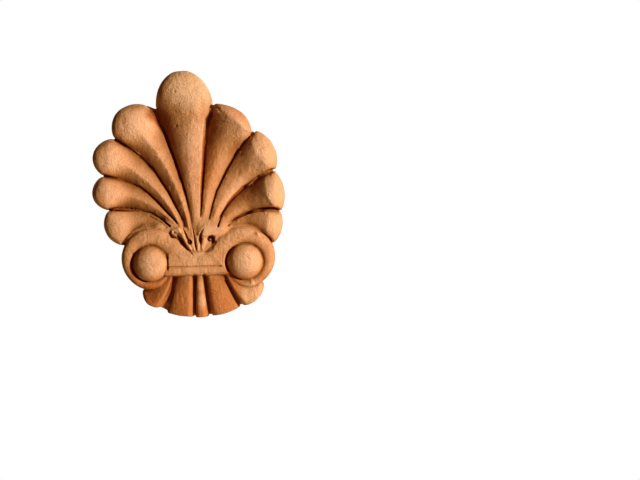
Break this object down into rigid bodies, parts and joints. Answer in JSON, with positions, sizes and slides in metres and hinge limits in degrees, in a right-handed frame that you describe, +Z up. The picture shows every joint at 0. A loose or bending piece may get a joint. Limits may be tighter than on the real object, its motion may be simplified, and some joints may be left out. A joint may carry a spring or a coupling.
{
  "type": "palmette antefix",
  "caption": "Moulded terracotta antefix with a flat back: a fan of palmette petals over a hanging calyx, two scrolls round ball bosses, a fillet and foot leaves.",
  "frame": {"origin": "on the flat back, midway between the two ball bosses and half way up", "axes": "the relief faces -Y, the flat back lies on Y = 0 and faces +Y, +Z is up towards the crown petal, +X is to the right as the relief is seen"},
  "size_m": [0.1557, 0.0313, 0.2002],
  "materials": {
    "terracotta": "unglazed fired clay, matt, pale and dusty on the high parts and darker red in the grooves"
  },
  "bodies": {
    "root": {"palmette_antefix": "terracotta"}
  },
  "joints": []
}
